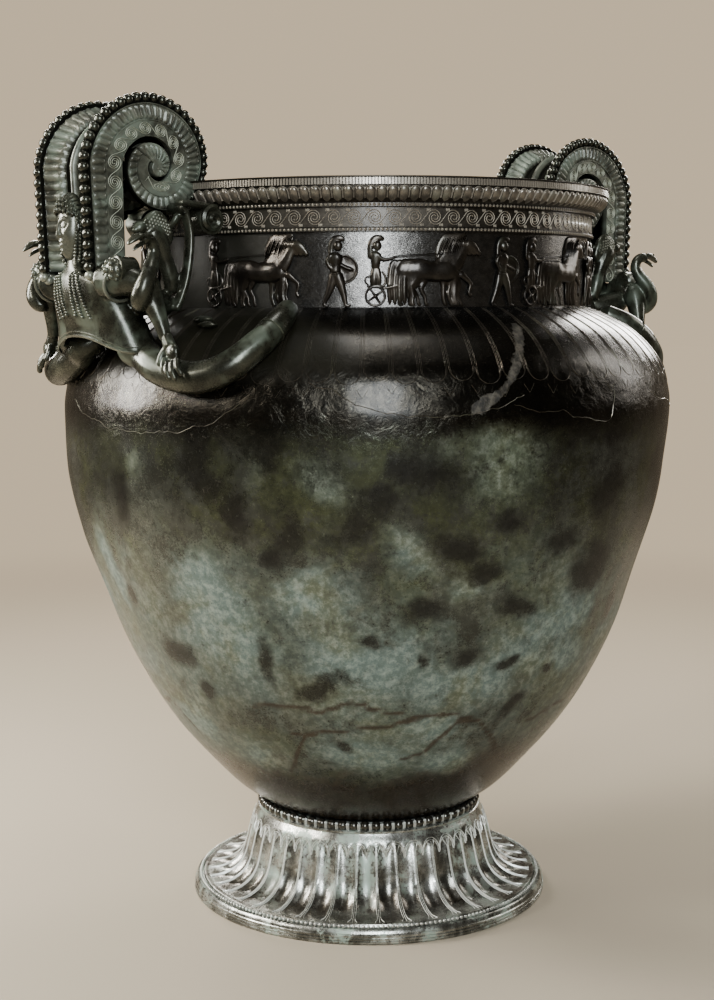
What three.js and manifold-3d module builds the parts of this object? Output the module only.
// A volute krater: a large bronze vessel for mixing wine and water, in millimetres, +Z up.
// The hammered body stands in a cast foot. Two cast volute handles clasp the rim and the
// shoulder, on the X axis. Cast relief figures are set round the neck in two runs.
import * as THREE from 'three';
import Module from 'manifold-3d';
import { mergeVertices } from 'three/addons/utils/BufferGeometryUtils.js';
import { TessellateModifier } from 'three/addons/modifiers/TessellateModifier.js';

const wasm = await Module();
wasm.setup();

// Driving dimensions
const WALL = 1.3;
const GAP = 0.35;
const ROUND_SEGMENTS = 36;
const BELLY_RADIUS = 635;
const BELLY_HEIGHT = 1035;
const NECK_RADIUS = 463;
const NECK_BASE = 1253;
const NECK_TOP = 1391;
const RIM_RADIUS = 507;
const RIM_TOP = 1489;
const MOUTH_RADIUS = 452;
const BASE_RADIUS = 228;
const BASE_HEIGHT = 206;
const FOOT_RADIUS = 382;
const FLUTES = 40;
const FLUTE_DEPTH = 4;

// Handles: measured outward from the axis (u), sideways (v) and up (z)
const VOLUTE_CENTRE = { u: 570, z: 1513 };
// Radius of the rolled strip's outer and inner edge at each quarter turn from the outward side
const VOLUTE_OUTER = [158, 127, 108, 80, 65, 41, 27, 19, 12.5, 11];
const VOLUTE_INNER = [76, 51, 29, 27, 21, 10];
const VOLUTE_TIP = 4.4;
const STRIP_FOOT = 1318;
const HANDLE_HALF_WIDTH = 93.5;
const FLANGE = 22;
const CHANNEL_DEPTH = 33;
const WEB = 12;
const RIGHT_HANDLE_DROP = 12;

// Neck frieze
const CHARIOTS_PER_SIDE = 4;
const FRIEZE_STEP = 40;
const FRIEZE_START = -77.5;
const HOPLITE_LEAD = 31;
const RELIEF = 8;
const RELIEF_SEAT = 1.2;

const bronze = (color, roughness) => new THREE.MeshStandardMaterial({ color, roughness, metalness: 0.9 });
const MATERIALS = {
  body: bronze(0x3b4038, 0.42),
  foot: bronze(0x46524a, 0.42),
  handle: bronze(0x46543f, 0.4),
  frieze: bronze(0x2b2a24, 0.35),
};

// --- Geometry helpers -------------------------------------------------------------------

// Merged, position-only copy of a geometry with its faces pointing out.
function bare(geometry) {
  const open = geometry.clone();
  open.deleteAttribute('normal');
  open.deleteAttribute('uv');
  const merged = mergeVertices(open, 1e-3);
  const place = merged.attributes.position;
  const index = merged.index.array;
  const corner = (i) => new THREE.Vector3().fromBufferAttribute(place, i);
  const faces = [];
  let volume = 0;
  for (let i = 0; i < index.length; i += 3) {
    const [a, b, c] = [index[i], index[i + 1], index[i + 2]];
    if (a === b || b === c || c === a) continue;
    volume += corner(a).dot(corner(b).cross(corner(c)));
    faces.push([a, b, c]);
  }
  const ordered = volume < 0 ? faces.map(([a, b, c]) => [a, c, b]) : faces;
  merged.setIndex(ordered.flat());
  return merged;
}

function solid(geometry) {
  const closed = bare(geometry);
  return new wasm.Manifold(new wasm.Mesh({
    numProp: 3,
    vertProperties: new Float32Array(closed.attributes.position.array),
    triVerts: new Uint32Array(closed.index.array),
  }));
}

function geometryOf(manifold) {
  const mesh = manifold.getMesh();
  const geometry = new THREE.BufferGeometry();
  geometry.setAttribute('position', new THREE.BufferAttribute(mesh.vertProperties, 3));
  geometry.setIndex(new THREE.BufferAttribute(mesh.triVerts, 1));
  return geometry;
}

const union = (solids) => solids.reduce((whole, next) => whole.add(next));

// Closed profile of [radius, height] turned round the Z axis.
function turned(profile, segments = ROUND_SEGMENTS) {
  const points = profile.map(([radius, height]) => new THREE.Vector2(radius, height));
  return new THREE.LatheGeometry([...points, points[0]], segments).rotateX(Math.PI / 2);
}

// Smooth curve through [radius, height] knots, as a list of points.
function curveThrough(knots, divisions) {
  const curve = new THREE.SplineCurve(knots.map(([x, y]) => new THREE.Vector2(x, y)));
  return curve.getPoints(divisions).map((point) => [point.x, point.y]);
}

// Rings of equal length joined into one closed skin, with a fan at each end.
function skinned(rings) {
  const sides = rings[0].length;
  const points = rings.flat();
  const index = [];
  for (let ring = 0; ring < rings.length - 1; ring += 1) {
    for (let side = 0; side < sides; side += 1) {
      const a = ring * sides + side;
      const b = ring * sides + ((side + 1) % sides);
      index.push(a, b, b + sides, a, b + sides, a + sides);
    }
  }
  [[rings[0], 0, true], [rings.at(-1), (rings.length - 1) * sides, false]].forEach(([ring, start, flip]) => {
    const hub = points.length;
    const middle = ring.reduce((sum, point) => sum.add(point), new THREE.Vector3()).divideScalar(sides);
    points.push(middle);
    for (let side = 0; side < sides; side += 1) {
      const a = start + side;
      const b = start + ((side + 1) % sides);
      index.push(...(flip ? [b, a, hub] : [a, b, hub]));
    }
  });
  const geometry = new THREE.BufferGeometry().setFromPoints(points);
  geometry.setAttribute('normal', geometry.attributes.position.clone());
  geometry.setAttribute('uv', new THREE.Float32BufferAttribute(new Float32Array(points.length * 2), 2));
  geometry.setIndex(index);
  return geometry;
}

// Round bar through points, its radius running smoothly through the given radii.
function taperedBar(points, radii, steps, sides = 8) {
  const path = new THREE.CatmullRomCurve3(points.map((point) => new THREE.Vector3(...point)));
  const girth = new THREE.SplineCurve(radii.map((radius, i) => new THREE.Vector2(i, radius)));
  const frames = path.computeFrenetFrames(steps, false);
  const rings = [];
  for (let step = 0; step <= steps; step += 1) {
    const centre = path.getPoint(step / steps);
    const radius = girth.getPoint(step / steps).y;
    rings.push(Array.from({ length: sides }, (_, side) => {
      const angle = (side / sides) * 2 * Math.PI;
      return centre.clone()
        .addScaledVector(frames.normals[step], radius * Math.cos(angle))
        .addScaledVector(frames.binormals[step], radius * Math.sin(angle));
    }));
  }
  return skinned(rings);
}

function ellipsoid([u, v, z], [ru, rv, rz], across = 10, down = 6) {
  return new THREE.SphereGeometry(1, across, down).rotateX(Math.PI / 2).scale(ru, rv, rz).translate(u, v, z);
}

// Drum between two v planes, or between two u planes.
function drumAcross(u, z, radius, from, to, sides = 8) {
  return new THREE.CylinderGeometry(radius, radius, to - from, sides).translate(u, (from + to) / 2, z);
}

function drumOutward(v, z, radius, from, to, sides = 8) {
  return new THREE.CylinderGeometry(radius, radius, to - from, sides)
    .rotateZ(Math.PI / 2).translate((from + to) / 2, v, z);
}

// Outline of [u, z] points, standing between two v planes.
function upright(outline, from, to) {
  const shape = new THREE.Shape(outline.map(([u, z]) => new THREE.Vector2(u, z)));
  return new THREE.ExtrudeGeometry(shape, { depth: to - from, bevelEnabled: false, steps: 1 })
    .rotateX(Math.PI / 2).translate(0, to, 0);
}

// --- Vessel -------------------------------------------------------------------------------

const BODY_KNOTS = [
  [BASE_RADIUS, BASE_HEIGHT], [291, 251], [357, 320], [423, 400], [484, 500], [530, 600],
  [565, 700], [599, 800], [623, 900], [BELLY_RADIUS, BELLY_HEIGHT], [631, 1092], [613, 1147],
  [566, 1200], [512, 1233], [NECK_RADIUS, NECK_BASE],
];
const BODY_CURVE = curveThrough(BODY_KNOTS, 13);

const RIM_MOULDING = [
  [NECK_RADIUS, NECK_TOP], [473, 1395], [469, 1400], [469, 1434], [480, 1443],
  [RIM_RADIUS, 1472], [RIM_RADIUS, RIM_TOP],
];

function outerProfile(offset) {
  return [[0, 150 - offset], [110, 160 - offset], ...BODY_CURVE, ...RIM_MOULDING]
    .map(([radius, height]) => [radius === 0 ? 0 : radius + offset, height]);
}

function vessel() {
  const inside = (points) => points.map(([radius, height]) => [radius - WALL, height + WALL * 0.4]);
  const mouth = [[MOUTH_RADIUS, RIM_TOP], [MOUTH_RADIUS, 1440], [NECK_RADIUS - WALL, 1398]];
  const lining = [...mouth, ...inside(BODY_CURVE).reverse(), [110, 160 + WALL], [0, 150 + WALL]];
  return turned([...outerProfile(0), ...lining]);
}

// The vessel grown by the casting gap and filled, to trim what is fitted against it.
function vesselForm() {
  return solid(turned([...outerProfile(GAP), [0, RIM_TOP + GAP]]));
}

function shoulderPoint(degrees, height, lift) {
  const upper = BODY_CURVE.filter(([, z]) => z >= BELLY_HEIGHT);
  const next = Math.max(1, upper.findIndex(([, z]) => z >= height));
  const [below, above] = [upper[next - 1], upper[next]];
  const share = (height - below[1]) / (above[1] - below[1]);
  const slope = new THREE.Vector2(above[1] - below[1], below[0] - above[0]).normalize();
  const radius = THREE.MathUtils.lerp(below[0], above[0], share) + slope.x * lift;
  const angle = THREE.MathUtils.degToRad(degrees);
  return [radius * Math.cos(angle), radius * Math.sin(angle), height + slope.y * lift];
}

// --- Foot ---------------------------------------------------------------------------------

function foot() {
  const ring = [[BASE_RADIUS + 9, 187], [BASE_RADIUS + 4, 201], [BASE_RADIUS - 6, 199]];
  const bell = curveThrough([[350, 37], [310, 49], [280, 72], [266, 105], [256, 142], [244, 178]], 4);
  const base = [[FOOT_RADIUS, 0], [FOOT_RADIUS, 16]];
  const inner = [[214, 184], [252, 110], [300, 40], [352, 0]];
  const segments = 2 * FLUTES;
  const geometry = turned([...base, ...bell, ...ring, ...inner], segments);
  const place = geometry.attributes.position;
  for (let i = 0; i < place.count; i += 1) {
    const [x, y, z] = [place.getX(i), place.getY(i), place.getZ(i)];
    const radius = Math.hypot(x, y);
    const slot = Math.round((Math.atan2(y, x) / (2 * Math.PI)) * segments);
    const onBell = bell.some(([r, h]) => Math.abs(r - radius) < 0.1 && Math.abs(h - z) < 0.1);
    if (onBell && z > 40 && z < 165 && Math.abs(slot) % 2 === 1) {
      const scale = (radius - FLUTE_DEPTH) / radius;
      place.setXY(i, x * scale, y * scale);
    }
  }
  return bare(geometry);
}

// --- Handles ------------------------------------------------------------------------------

function radiusAt(knots, quarter) {
  const curve = new THREE.SplineCurve(knots.map((radius, i) => new THREE.Vector2(i, radius)));
  return curve.getPoint(quarter / (knots.length - 1)).y;
}

// Point of the coil's edge [u, z], a number of quarter turns from its outward side.
function coilPoint(knots, quarter, inset, drop) {
  const radius = radiusAt(knots, quarter) - inset;
  const angle = (quarter * Math.PI) / 2;
  return [VOLUTE_CENTRE.u + radius * Math.cos(angle), VOLUTE_CENTRE.z - drop + radius * Math.sin(angle)];
}

function coilRun(knots, from, to, steps, inset, drop) {
  return Array.from({ length: steps + 1 }, (_, i) => (
    coilPoint(knots, from + ((to - from) * i) / steps, inset, drop)));
}

// Side plate: the upright strip that rolls up into the coil.
function flange(drop) {
  const foot = STRIP_FOOT - drop;
  const turn = coilRun(VOLUTE_OUTER, 0, 3, 12, 0, drop);
  const coil = coilRun(VOLUTE_OUTER, 3.6, VOLUTE_TIP + 4, 10, 0, drop);
  const inner = coilRun(VOLUTE_INNER, VOLUTE_TIP, 0, 10, 0, drop);
  return [[VOLUTE_CENTRE.u + 150, foot], ...turn, ...coil, ...inner, [VOLUTE_CENTRE.u + 73, foot]];
}

// Sunk channel between the side plates, running up and over into the coil.
function channel(drop) {
  const foot = STRIP_FOOT - drop;
  const outer = coilRun(VOLUTE_OUTER, 0, 3, 8, CHANNEL_DEPTH, drop);
  const inner = coilRun(VOLUTE_OUTER, 3, 0, 7, CHANNEL_DEPTH + WEB, drop);
  const reach = VOLUTE_CENTRE.u + VOLUTE_OUTER[0] - CHANNEL_DEPTH;
  return [[reach - 6, foot], ...outer, ...inner, [reach - 6 - WEB, foot]];
}

// Bust of the gorgon: flat oval sections from the hem of the tunic up to the neck.
function bust(drop) {
  const sections = [
    [1186, 650, 84, 156], [1218, 655, 80, 136], [1276, 671, 68, 112], [1305, 680, 46, 100],
    [1320, 688, 30, 62], [1345, 692, 24, 26],
  ];
  const sides = 10;
  const rings = sections.map(([height, u, ru, rv]) => Array.from({ length: sides }, (_, side) => {
    const angle = (side / sides) * 2 * Math.PI;
    return new THREE.Vector3(u + ru * Math.cos(angle), rv * Math.sin(angle), height - drop);
  }));
  return [skinned(rings), ellipsoid([700, 0, 1392 - drop], [33, 45, 55])];
}

// What stands on one side (side = 1 or -1) of the handle's middle plane.
function sideFittings(side, drop) {
  const at = ([u, v, z]) => [u, side * v, z - drop];
  const across = (from, to) => (side > 0 ? [from, to] : [-to, -from]);
  const bar = (points, radii, steps, sides) => taperedBar(points.map(at), radii, steps, sides);
  const upperArm = [[688, 92, 1316], [672, 140, 1310], [644, 180, 1282]];
  const foreArm = [[660, 164, 1306], [642, 188, 1262], [632, 203, 1222], [632, 210, 1186]];
  const snake = [
    [678, 150, 1264], [690, 172, 1252], [684, 195, 1270], [660, 190, 1300], [632, 180, 1330],
    [632, 180, 1352], [650, 187, 1372], [672, 191, 1380], [694, 192, 1372],
  ];
  const lioness = [[570, 125, 1284], [574, 125, 1330], [582, 125, 1370], [594, 125, 1406]];
  const strut = [[548, 1446], [562, 1440], [544, 1380], [552, 1316], [574, 1262], [556, 1258],
    [530, 1316], [522, 1380], [528, 1432]].map(([u, z]) => [u, z - drop]);
  const stem = [[480, 1424], [540, 1424], [540, 1440], [480, 1440]].map(([u, z]) => [u, z - drop]);
  return [
    upright(flange(drop), ...across(HANDLE_HALF_WIDTH - FLANGE, HANDLE_HALF_WIDTH)),
    drumOutward(side * 133, 1321 - drop, 26, 652, 709),
    bar(upperArm, [26, 25, 19], 3, 6),
    bar(foreArm, [20, 18, 13, 10], 4, 6),
    ellipsoid(at([634, 212, 1163]), [11, 19, 38], 6, 4),
    bar(snake, [9, 14, 16, 15, 13, 12, 11, 12, 7], 9, 4),
    bar(lioness, [15, 20, 22, 24], 4, 6),
    ellipsoid(at([610, 125, 1412]), [30, 20, 20], 6, 4),
    upright(strut, ...across(118, 134)),
    drumAcross(470, 1420 - drop, 26, ...across(80, 138)),
    upright(stem, ...across(116, 130)),
    drumAcross(541, 1436 - drop, 12, ...across(80, 134), 6),
    bar([[560, 90, 1262], [600, 125, 1262], [640, 120, 1262]], [22, 26, 26], 2, 6),
  ];
}

// Serpent leg: leaves the hem, sweeps round the shoulder and rises to a blunt tip at the neck.
function serpentLeg(side, drop) {
  const course = [
    [8.4, 1130], [13.6, 1113], [18, 1104], [21.9, 1102], [25.5, 1110], [28.7, 1129],
    [30.9, 1149], [32.9, 1175], [34.2, 1207], [34.6, 1236],
  ].map(([angle, height], i) => shoulderPoint(side * angle, height - drop, 30 - i * 1.4));
  const root = [[655, 0, 1158 - drop], [652, side * 40, 1148 - drop]];
  return taperedBar([...root, ...course], [36, 36, 34, 32, 31, 30, 29, 28, 26, 24, 22, 17], 11, 6);
}

function handle(drop, form) {
  const parts = [
    upright(channel(drop), -(HANDLE_HALF_WIDTH - FLANGE) - 2, HANDLE_HALF_WIDTH - FLANGE + 2),
    ...bust(drop),
    ...[1, -1].flatMap((side) => [...sideFittings(side, drop), serpentLeg(side, drop)]),
  ];
  return union(parts.map(solid));
}

// --- Neck frieze --------------------------------------------------------------------------

// Outlines are [along, up] from the foot of the neck, the figures moving along.
const disc = (along, up, radius, sides) => Array.from({ length: sides }, (_, i) => {
  const angle = (i / sides) * 2 * Math.PI;
  return [along + radius * Math.cos(angle), up + radius * Math.sin(angle)];
});

const leg = (along, lean) => [[along - 5, 3], [along + 6, 3], [along + lean + 6, 58], [along + lean - 6, 58]];

const CHARIOT_OUTLINES = [
  disc(0, 22, 19, 7),
  [[-20, 30], [42, 30], [42, 40], [16, 40], [14, 58], [-20, 46]],
  [[-10, 40], [12, 40], [14, 78], [44, 66], [44, 78], [13, 96], [8, 129], [-8, 129]],
  [[34, 3], [46, 3], [62, 50], [162, 50], [172, 98], [194, 92], [194, 106], [170, 128],
    [122, 135], [112, 84], [40, 82]],
  leg(76, -4), leg(160, -6),
];

const HOPLITE_OUTLINES = [
  [[-20, 2], [-8, 2], [2, 44], [14, 2], [26, 2], [14, 62], [12, 130], [-2, 135], [-14, 124], [-8, 62]],
  disc(12, 72, 26, 7),
];

// Flat outlines joined, cut into short runs and bent round the neck from a starting angle.
function relief(outlines, startDegrees) {
  const slabs = outlines.map((outline) => {
    const shape = new THREE.Shape(outline.map(([along, up]) => new THREE.Vector2(along, up)));
    return solid(new THREE.ExtrudeGeometry(shape, { depth: RELIEF, bevelEnabled: false, steps: 1 }));
  });
  const flat = geometryOf(union(slabs)).toNonIndexed();
  const fine = new TessellateModifier(60, 4).modify(flat);
  const place = fine.attributes.position;
  const seat = NECK_RADIUS + RELIEF_SEAT;
  const start = THREE.MathUtils.degToRad(startDegrees);
  for (let i = 0; i < place.count; i += 1) {
    const [along, up, out] = [place.getX(i), place.getY(i), place.getZ(i)];
    const angle = start + along / seat;
    const radius = seat + out;
    place.setXYZ(i, radius * Math.sin(angle), -radius * Math.cos(angle), NECK_BASE + up);
  }
  return fine;
}

// --- Assembly -----------------------------------------------------------------------------

const group = new THREE.Group();

function place(name, geometry, material) {
  const mesh = new THREE.Mesh(geometry, material);
  mesh.name = name;
  group.add(mesh);
  return mesh;
}

place('vessel', bare(vessel()), MATERIALS.body);
place('foot', foot(), MATERIALS.foot);

const form = vesselForm();
place('handle_right', geometryOf(handle(RIGHT_HANDLE_DROP).subtract(form)), MATERIALS.handle);
place('handle_left', geometryOf(handle(0).subtract(form)), MATERIALS.handle).rotation.z = Math.PI;

for (let side = 0; side < 2; side += 1) {
  for (let i = 0; i < CHARIOTS_PER_SIDE; i += 1) {
    const angle = FRIEZE_START + side * 180 + i * FRIEZE_STEP;
    const number = side * CHARIOTS_PER_SIDE + i + 1;
    place(`chariot_${number}`, bare(relief(CHARIOT_OUTLINES, angle)), MATERIALS.frieze);
    place(`hoplite_${number}`, bare(relief(HOPLITE_OUTLINES, angle + HOPLITE_LEAD)), MATERIALS.frieze);
  }
}

export default group;
